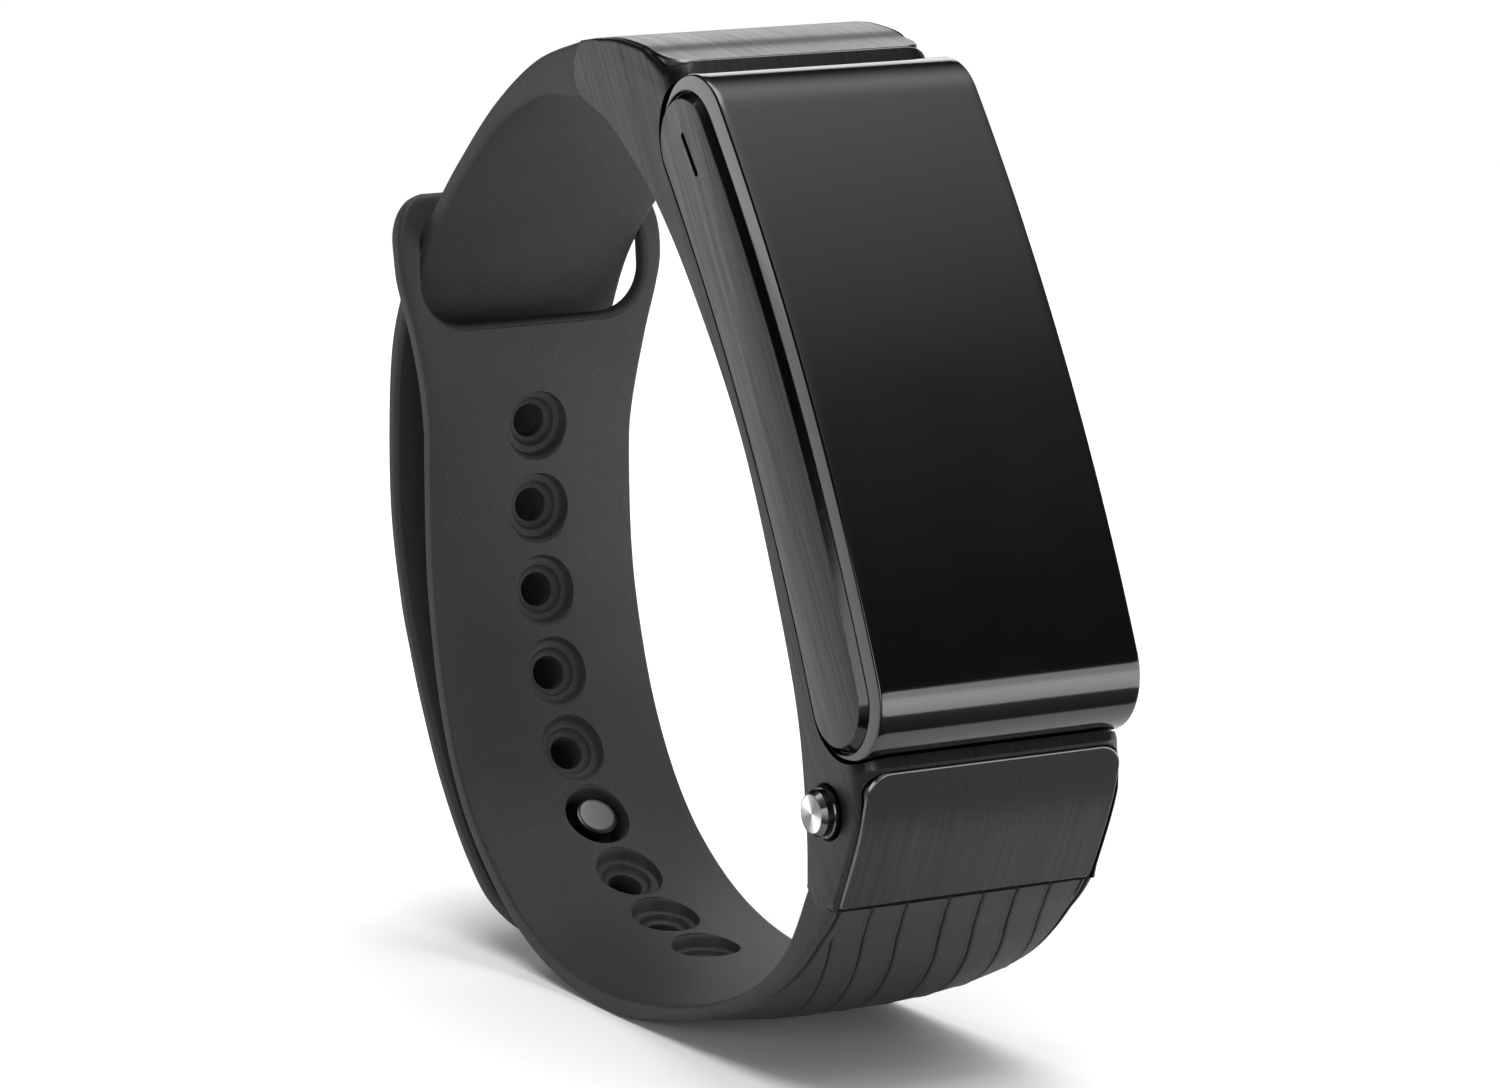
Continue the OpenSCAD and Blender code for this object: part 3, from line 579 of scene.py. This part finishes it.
def shoulder_solid(name, place, layers, mat):
    """A plate on a shoulder from layers of (height, plan)."""
    verts, faces = [], []
    n = len(layers[0][1])
    for h, half in layers:
        verts += [place(x, u, h) for x, u in half] + [place(-x, u, h) for x, u in half[::-1]]
    for k in range(len(layers) - 1):
        a, b = k * 2 * n, (k + 1) * 2 * n
        faces += [(a + j, a + (j + 1) % (2 * n), b + (j + 1) % (2 * n), b + j) for j in range(2 * n)]
    for a in (0, (len(layers) - 1) * 2 * n):
        faces += [(a + j, a + j + 1, a + 2 * n - 2 - j, a + 2 * n - 1 - j) for j in range(n - 1)]
    return new_object(name, verts, faces, mat)


def shoulder_plate(name, where, length, mat):
    """A brushed plate with a bright bevelled edge, flush in its recess."""
    profile = [(-0.6, 0.0), (-0.16, 0.0), (-0.03, 0.11), (0.0, 0.17)]
    layers = [(h, plan(10.1 - d, 0.35 + d, length - d, 1.8 - d, 0.4 - d)) for h, d in profile]
    obj = shoulder_solid(name, where.place, layers, mat)
    obj.data.materials.append(M["edge"])
    around = 2 * len(layers[0][1])
    for p in obj.data.polygons:
        p.material_index = int(around <= p.index < 3 * around)
    return shade(obj, 22)


plate_top = shoulder_plate("shoulder_plate_top", top_side, 12.7, M["top_plate"])
plate_low = shoulder_plate("shoulder_plate_low", low_side, 11.27, M["low_plate"])
for where, length in ((top_side, 12.82), (low_side, 12.2)):
    recess = plan(10.22, 0.25, length, 1.9, 0.5)
    cut(cradle, shoulder_solid("recess", where.place, [(-0.62, recess), (1.2, recess)], None))
for sign in (-1, 1):
    bore = [(5 * sign, 1.86), (10.35 * sign, 1.86), (10.6 * sign, 2.11)]
    cut(cradle, lathe("bore", bore, row(0, *BUTTON), (1, 0, 0), None, 64))
# Screw holes from the wrist side, two under each plate: where, along which way, x, and how deep they end
for at, way, screw_x, depth in (((20.9, 28.7), (-7.3, 5.25), 6, 8.1), ((20.2, -29.5), (8.9, 7.1), 2.8, 6.8)):
    axis = np.array(row(0, way[1], -way[0])) - row(0, 0, 0)
    for x in (-screw_x, screw_x):
        hole = [(-depth - 3, 1.25), (0.9 - depth, 1.25)]
        cut(cradle, lathe("screw_hole", hole, row(x, *at), axis, None, 32))
shade(tidy(cradle), 30)


# ---- Release buttons ----
def release(side, sign):
    """A release button: a turned body with a hollow in its end, and a spun cap in the hollow."""
    def turned(name, profile, mat, steps):
        profile = [(sign * d, r) for d, r in profile]
        return lathe("release_" + side + name, profile, row(0, *BUTTON), (1, 0, 0), mat, steps)

    profile = [(6.9, 0.9), (6.9, 1.78), (10.82, 1.78), (10.9, 1.7), (10.9, 1.62), (11.36, 1.62), (11.39, 1.6),
               (11.73, 1.37), (11.73, 1.33), (11.45, 1.33), (11.45, 0.4)]
    body = turned("_body", profile, M["button"], 72)
    profile = [(11.42, 0.5), (11.42, 1.32), (11.71, 1.32), (11.74, 1.29), (11.75, 1.24), (11.68, 0.1),
               (11.68, 0.02)]
    cap = turned("_cap", profile, M["face"], 96)
    for piece in (body, cap):
        shade(piece, 25)
        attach(piece, "release_" + side)
    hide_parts("release_button_" + side)
    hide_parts("button_face_" + side)


release("left", -1)
release("right", 1)

# ---- Straps, in the row frame ----
T = 1.5
# Paths of the straps' wrist side as [y, z, thickness]; SHIFT moves them
LOWER = [[31.6, 55.8, T], [30.9, 53.4, T], [30.3, 51, T], [30.1, 47.5, T], [30.2, 42.4, T], [30.6, 34.4, T],
         [29.9, 25, T], [26.9, 15.4, T], [21.8, 8.4, T], [13.7, 3.4, T], [3.5, 1.6, T], [-8.3, 2.9, 1.7],
         [-18, 5.9, 2], [-24, 10, 2.6]]
UPPER = [[10.9, 65.1, 2.8], [17.9, 62.3, 1.8], [23.8, 57.9, T], [27.6, 54.3, T], [30.5, 51.3, T],
         [32.8, 48, T], [34.7, 43.5, T], [35.5, 37.5, 1.3], [35.3, 31, 1.3], [33.9, 24.9, 1.3]]
TAIL = [[32.4, 21.1, 1.3], [30.7, 17.4, 1.3], [27.9, 12.5, 1.3], [24, 7.7, 1.3], [19.3, 4, 1.3],
        [14.5, 1.45, 1.3]]
SHIFT = np.array([-0.1, -0.1, 0])
# Half widths as [half width, z] up the back, and as [half width, y] under and over the wrist
REAR_W = [[8.95, 0], [8.95, 10], [8.7, 20], [8.55, 27], [8.5, 35], [8.6, 38], [9.1, 41.5], [9.8, 44.8],
          [10.5, 47.4], [10.95, 49.4], [11.05, 51.4], [10.9, 53.1], [10.2, 54.6], [9, 55.6], [7.6, 56]]
LOW_W = [[10.5, -40], [10.5, -27], [10.3, -16], [9.8, -1], [9.3, 11], [8.95, 21.5]]
TOP_W = [[10.5, -5], [10.5, 3.5], [9.8, 10], [9.4, 18], [9.15, 26], [9, 32], [9, 50]]
# How far the wrist face is crowned, as [length from the free end, crown]
CROWN = [[9, 0], [18, 0.7], [24.3, 0.9], [30.6, 1.2], [37, 1.5], [43.3, 1.7], [49.7, 1.8], [56, 1.85],
         [62.4, 1.8], [68.8, 1.6], [76, 1.2], [84, 0.7], [93, 0]]
HOLES = [17.95 + 6.35 * i for i in range(9)]
STUD_HOLE = 5


def table(points, k=4):
    """A function that gives a half width at a y or z."""
    p = smooth(points, k)
    return lambda v: float(np.interp(v, p[:, 1], p[:, 0]))


rear_width, low_width, top_width = table(REAR_W, 6), table(LOW_W), table(TOP_W)
crown_curve = smooth(CROWN, 6)


def crown(s):
    return float(np.interp(s, crown_curve[:, 0], crown_curve[:, 1], 0, 0))


class Path:
    """A strap's path on its wrist side, resampled evenly; h runs outwards from it."""

    def __init__(self, points, step):
        p = smooth(points, 16)
        s = np.concatenate([[0], np.cumsum(np.linalg.norm(np.diff(p[:, :2], axis=0), axis=1))])
        self.s = np.linspace(0, s[-1], int(s[-1] / step) + 1)
        self.p = np.stack([np.interp(self.s, s, p[:, k]) for k in (0, 1, 2)], 1)
        self.n = normals(self.p[:, :2])

    def at(self, s, h=0.0):
        q = np.array([np.interp(s, self.s, self.p[:, k]) for k in (0, 1)])
        n = np.array([np.interp(s, self.s, self.n[:, k]) for k in (0, 1)])
        return q + h * n / np.linalg.norm(n)

    def thick(self, s):
        return float(np.interp(s, self.s, self.p[:, 2]))


low_end = np.array(row(0, *WRIST[-1])[1:])
lower = Path([list(np.array(p) + SHIFT) for p in LOWER] + [[*low_end, 3.4]], 0.4)
seam_s = lower.s[-1]
EDGE = 0.42  # radius of the straps' long edges
WRIST_POINTS = 26
# Grooves in the outer face: their places at the seam, and one groove's profile as (x, h)
GROOVES = [-9.7, -7.35, -4.65, -1.25, 1.45, 4.15, 6.85, 9.4]
GROOVE = [(-0.42, 0), (-0.3, 0.01), (-0.17, 0.06), (-0.09, 0.05), (-0.02, -0.24), (0.06, -0.28),
          (0.15, -0.06), (0.24, 0), (0.42, 0)]


def lower_width(s):
    y, z = lower.at(s)
    return rear_width(z) if y > 21.5 else low_width(y)


def falls(from_seam, x, w):
    """How far the outer face falls away towards its side edges."""
    e = np.interp(from_seam, [0, 3, 6, 10, 18, 26, 32], [0.1, 0.5, 0.9, 1.1, 1.1, 0.5, 0])
    return float(e) * min(abs(x) / w, 1) ** 3


def groove_points(from_seam, w, flat, fade):
    """(x, h) across the outer face between its edge creases; the grooves drift sideways and fade out."""
    drift = 0.27 * max(from_seam - 1, 0)
    low, high = 0.5 - flat, flat - 0.5
    last = len(GROOVES) * len(GROOVE) - 1
    points = []
    for i, place in enumerate(GROOVES):
        strength = fade * (min(max(from_seam - 2.2, 0), 1) if i == 0 else 1)
        for j, (dx, h) in enumerate(GROOVE):
            m = i * len(GROOVE) + j
            x, x_min, x_max = place * w / BAND_X + drift + dx, low + 0.01 * m, high - 0.01 * (last - m)
            inside = x_min <= x <= x_max
            points.append((x, h * strength) if inside else (min(max(x, x_min), x_max), 0.0))
    return points


def lower_section(s):
    """(x, h) around the lower strap at s: wrist face, left edge, outer face, right edge."""
    w, t, c = lower_width(s), lower_thick(s), crown(s)
    round_end, squash = 0.5, 1.0
    if s < round_end:
        squash = math.sqrt(max(1 - ((round_end - s) / round_end) ** 2, 0.02))
        w -= round_end * (1 - squash)
    from_seam = seam_s - s
    fade = min(max((26 - from_seam) / 12, 0), 1)
    flat = w - EDGE
    wrist_face = [(x, -c * max(1 - (abs(x) / (0.97 * w)) ** 2.1, 0))
                  for x in np.linspace(flat, -flat, WRIST_POINTS)]
    top = t - falls(from_seam, w, w)
    a = np.linspace(0, math.pi / 2, 7)
    left = [(-flat - EDGE * math.sin(b), EDGE - EDGE * math.cos(b)) for b in a[1:]] + [(-w, top * 0.5)]
    left += [(-flat - EDGE * math.cos(b), top - EDGE + EDGE * math.sin(b)) for b in a[:-1]]
    crease = [(0.02, 0.0), (0.1, 0.30 * fade), (0.22, 0.34 * fade), (0.34, 0.0)]
    outer = [(dx - flat, -d) for dx, d in crease] + groove_points(from_seam, w, flat, fade)
    outer += [(flat - dx, -d) for dx, d in reversed(crease)]
    points = wrist_face + left + [(x, t + h - falls(from_seam, x, w)) for x, h in outer]
    points += [(-x, h) for x, h in reversed(left)]
    return [(x, t / 2 + (h - t / 2) * squash) for x, h in points]


def to_seam(s):
    """0 away from the cradle and 1 at the strap's seam with it."""
    k = min(max(1 - (seam_s - s) / 3.2, 0), 1)  # over the last 3.2 mm
    return k * k * (3 - 2 * k)


def lower_thick(s):
    return lower.thick(s) * (1 - to_seam(s)) + seam_t * to_seam(s)


def lower_ring(s):
    q, n = lower.at(s), lower.at(s, 1.0) - lower.at(s)
    k = to_seam(s)
    n = n * (1 - k) + seam_out * k
    n /= np.linalg.norm(n)
    return [(x, q[0] + h * n[0], q[1] + h * n[1]) for x, h in lower_section(s)]


seam_out = np.array(row(0, *LOW[0])[1:]) - low_end
seam_t = float(np.linalg.norm(seam_out))
seam_out /= seam_t
end_steps = [0.0, 0.03, 0.08, 0.16, 0.28, 0.42]
stations = end_steps + [s for s in lower.s if 0.5 < s < seam_s - 0.3] + [seam_s - 0.02]
holed = loft("strap_with_holes", [lower_ring(s) for s in stations], M["rubber"])


def cut_at_seam(strap, seam, behind):
    """Cuts a strap off a little short of the cradle's seam; behind goes round what is cut off."""
    cut(strap, prism("seam", np.concatenate([seam + SEAM_GAP * normals(seam), behind]), -12, 12))


cut_at_seam(holed, low_seam, [[16.5, -31.7], [15, -29], [13.4, -29.2]])


def s_of_z(z):
    """The length at which the lower strap, near its free end, passes height z."""
    near = lower.s < 20
    return float(np.interp(-z, -lower.p[near, 1], lower.s[near]))


def loop_cutter():
    """The opening of the strap's loop, cut wider at both faces for a rounded rim."""
    hw, z0, z1, r0, r1, rim = 9.35, 45.8, 53.9, 3.4, 3.0, 0.45
    half = np.concatenate([arc2((hw - r0, z0 + r0), r0, -90, 0, 12), arc2((hw - r1, z1 - r1), r1, 0, 90, 10)])
    shape = np.concatenate([half, half[::-1] * [-1, 1]])
    wrist_rim = [(-1.0, rim)] + [(rim - rim * math.cos(a), rim - rim * math.sin(a))
                                 for a in np.linspace(0, math.pi / 2, 6)]
    outer_rim = [(T - h, grow) for h, grow in reversed(wrist_rim)]
    rings = [[(x, *lower.at(s_of_z(z), h)) for x, z in inset(shape, -grow)]
             for h, grow in wrist_rim + outer_rim]
    return loft("loop_cutter", rings, None)


def hole_axis(i):
    """Where a strap hole meets the strap's path, and the way it points outwards."""
    at = np.array([0.0, *lower.at(HOLES[i])])
    return at, np.array([0.0, *lower.at(HOLES[i], 1.0)]) - at


def hole_cutter(i):
    """A stepped round hole, as (distance from the crowned face, radius); the stud's is wide right through."""
    if i == STUD_HOLE:
        inner, through = [(0.78, 2.42), (0.9, 2.36)], 2.35
    else:
        through = 1.22
        inner = [(0.76, 2.36), (0.8, 1.9), (0.86, 1.83), (1.1, 1.78), (1.28, 1.62), (1.36, 1.3),
                 (1.5, through)]
    steps = [(-2.0, 2.75), (-0.12, 2.75), (0.02, 2.58), (0.16, 2.49), (0.62, 2.45)] + inner
    profile = [(h - crown(HOLES[i]), r) for h, r in steps] + [(3, through)]
    return lathe("hole_cutter", profile, *hole_axis(i), None, 56)


cut(holed, loop_cutter())
for i in range(len(HOLES)):
    cut(holed, hole_cutter(i))
shade(tidy(holed), 38)

# Upper strap and its tail are one piece of rubber
up_start = np.array(row(0, *WRIST[0])[1:])
upper = Path([[*up_start, 4.1]] + [list(np.array(p) + SHIFT) for p in UPPER + TAIL], 0.5)
tip_y = TAIL[-1][0] - 0.1
tail_from = next(s for s, p in zip(upper.s, upper.p) if p[1] < 21 and p[0] > 20)
TAIL_W, TIP = 9.0, 7.6  # the tail's half width, and the length of its rounded tip
UPPER_POINTS = 14


def upper_width(s):
    y, z = upper.at(s)
    if s < tail_from:
        return top_width(y)
    return TAIL_W * math.sqrt(max(1 - max(1 - (y - tip_y) / TIP, 0) ** 2, 0))


def upper_ring(s):
    w, t = upper_width(s), upper.thick(s)
    r = min(EDGE, t / 2.2, w * 0.9)
    wrist_face = [(x, 0.0) for x in np.linspace(w - r, r - w, UPPER_POINTS)]
    a = np.linspace(0, math.pi / 2, 6)
    left = [(r - w - r * math.sin(b), r - r * math.cos(b)) for b in a[1:]]
    left += [(r - w - r * math.cos(b), t - r + r * math.sin(b)) for b in a]
    outer = [(x, t) for x in np.linspace(r - w, w - r, UPPER_POINTS)[1:-1]]
    q, n = upper.at(s), upper.at(s, 1.0) - upper.at(s)
    if s < 3:  # the first 3 mm turn from the seam's own direction
        k = 1 - s / 3
        end = np.array(row(0, *TOP[-1])[1:]) - up_start
        n = n * (1 - k) + end / np.linalg.norm(end) * k
    section = wrist_face + left + outer + [(-x, h) for x, h in reversed(left)]
    return [(x, q[0] + h * n[0], q[1] + h * n[1]) for x, h in section]


tip_s = upper.s[-1]
up_stations = [0.06] + [s for s in upper.s if 0.4 < s < tip_s - 2]
up_stations += [tip_s - d for d in (1.7, 1.3, 0.9, 0.6, 0.38, 0.2, 0.09, 0.03)]
long_strap = loft("strap_with_stud", [upper_ring(s) for s in up_stations], M["rubber"])
cut_at_seam(long_strap, top_seam, [[12.4, 28.6], [14.5, 31], [14.4, 32.4]])
shade(tidy(long_strap), 38)

# ---- Stud ----
head = 0.05 - crown(HOLES[STUD_HOLE])
stud_profile = [(head + 0.02, 0.05), (head, 1.2), (head + 0.02, 1.42), (head + 0.1, 1.55), (head + 0.22, 1.6),
                (head + 0.6, 1.6), (head + 0.7, 1.5), (head + 0.75, 1.1), (2.6, 1.1), (2.8, 0.9)]
stud = lathe("stud_pin", stud_profile, *hole_axis(STUD_HOLE), M["stud"], 64)
collar_profile = [(1.6, 1.15), (1.58, 2.45), (1.66, 2.58), (1.84, 2.6), (1.92, 2.5), (1.92, 1.15)]
washer = lathe("stud_collar", collar_profile, *hole_axis(STUD_HOLE), M["washer"], 56)
for piece in (stud, washer):
    shade(piece, 30)

# ---- What each piece rides on and stands for ----
for piece, body, cad_node, slot in (
        (glass, "pod", "display_glass", "black_glass"), (shell, "pod", "pod_housing", "pod_shell"),
        (core, "pod", "pod_housing", "pod_shell"), (plate_left, "pod", "side_plate_left", "side_metal"),
        (plate_right, "pod", "side_plate_right", "side_metal"), (key, "power_key", "power_key", "side_metal"),
        (cradle, "band", "cradle_frame", "cradle_metal"), (plate_top, "band", "top_plate", "shoulder_metal"),
        (plate_low, "band", "bottom_plate", "shoulder_metal"), (holed, "band", "lower_strap", "strap_rubber"),
        (stud, "tail", "stud", "stud_metal"), (washer, "tail", "stud_washer", "washer_rubber")):
    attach(piece, body)
    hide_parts(cad_node)
along = upper.at(tail_from + 1) - upper.at(tail_from - 1)
along = np.array([0, *along]) / np.linalg.norm(along) * 5.5 * MM  # half of 11 mm, along the strap where its tail begins
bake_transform(long_strap)
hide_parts("upper_strap", "strap_tail")

# ---- Finishes of the CAD's own inner pieces ----
INNER = {"panel": ["display_panel"], "board": ["main_board"], "foil": ["battery"],
         "gold": ["microphone", "charge_contacts"],
         "steel": ["speaker", "vibration_motor", "plate_screws", "release_spring_left", "release_spring_right",
                   "upper_anchor_pin", "lower_anchor_pin"]}
for mat, names in INNER.items():
    for name in names:
        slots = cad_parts[name].data.materials
        slots.clear()
        slots.append(M[mat])

# ---- Floor, light and camera ----
white = plain("floor_white", (0.93, 0.93, 0.93), 0.9, vary=0.01, bumpy=0.0)
corners = [(-0.35, -0.05, 0), (0.35, -0.05, 0), (0.35, 0.35, 0), (-0.35, 0.35, 0)]
floor = new_object("floor", corners, [(0, 1, 2, 3)], white, scale=1)


def area(name, at, power, size, size_y=None):
    """A soft light at a place in metres, turned to the object."""
    light = bpy.data.lights.new(name, "AREA")
    light.shape = "RECTANGLE"
    light.size = size
    light.size_y = size_y or size
    light.energy = power
    obj = bpy.data.objects.new(name, light)
    bpy.context.scene.collection.objects.link(obj)
    obj.location = at
    back = np.array(at) - (0, 0, 0.03)
    obj.rotation_euler = (math.atan2(math.hypot(back[0], back[1]), back[2]), 0, math.atan2(back[0], -back[1]))


area("top_light", (0.0, 0.0, 1.0), 11, 0.9)
area("left_light", (-0.77, -0.64, 0.25), 3, 0.5)
area("back_light", (0.5, 0.8, 0.36), 2.2, 0.9, 0.4)
area("far_light", (-0.6, 1.0, 0.1), 2.2, 0.7, 0.5)
area("strip_light", (0.36, -0.43, -0.03), 3.2, 0.9, 0.36)


def studio():
    """A world of soft bands by height, brighter ahead of the object, and plain grey to the camera."""
    world = bpy.data.worlds.new("studio")
    bpy.context.scene.world = world
    world.use_nodes = True
    nt = world.node_tree
    way = node(nt, "ShaderNodeTexCoord").outputs["Generated"]
    split = node(nt, "ShaderNodeSeparateXYZ")
    nt.links.new(way, split.inputs[0])
    height = to_range(nt, split.outputs["Z"], 0, 1, -1, 1)
    sky = ramp(nt, height, [(0.1, 0.04), (0.3, 0.2), (0.42, 0.9), (0.49, 0.9), (0.53, 0.03), (0.75, 0.03),
                            (0.82, 0.14), (0.88, 0.56), (0.925, 1.0)])
    ahead = node(nt, "ShaderNodeVectorMath", operation="DOT_PRODUCT")
    ahead.inputs[1].default_value = (0.64, -0.77, 0)
    nt.links.new(way, ahead.inputs[0])
    share = ramp(nt, to_range(nt, ahead.outputs["Value"], 0, 1, -1, 1), [(0.45, 0.2), (0.65, 1.0)])
    lit = node(nt, "ShaderNodeMix", data_type="RGBA", blend_type="MULTIPLY")
    lit.inputs[0].default_value = 1.0
    nt.links.new(sky, lit.inputs[6])
    nt.links.new(share, lit.inputs[7])
    seen = node(nt, "ShaderNodeMix", data_type="RGBA")
    nt.links.new(node(nt, "ShaderNodeLightPath").outputs["Is Camera Ray"], seen.inputs[0])
    nt.links.new(lit.outputs[2], seen.inputs[6])
    seen.inputs[7].default_value = (0.56, 0.56, 0.56, 1)
    nt.links.new(seen.outputs[2], nt.nodes["Background"].inputs["Color"])
    nt.nodes["Background"].inputs["Strength"].default_value = 1.8


studio()
bpy.context.scene.view_settings.view_transform = "Standard"

camera = bpy.data.objects.new("camera", bpy.data.cameras.new("camera"))
bpy.context.scene.collection.objects.link(camera)
camera.data.lens = 164.8
camera.data.clip_end = 50
camera.location = (-0.24144, -0.41609, 0.12272)
camera.rotation_euler = (math.radians(90 - 10.505), 0, math.radians(-30.24))
bpy.context.scene.camera = camera
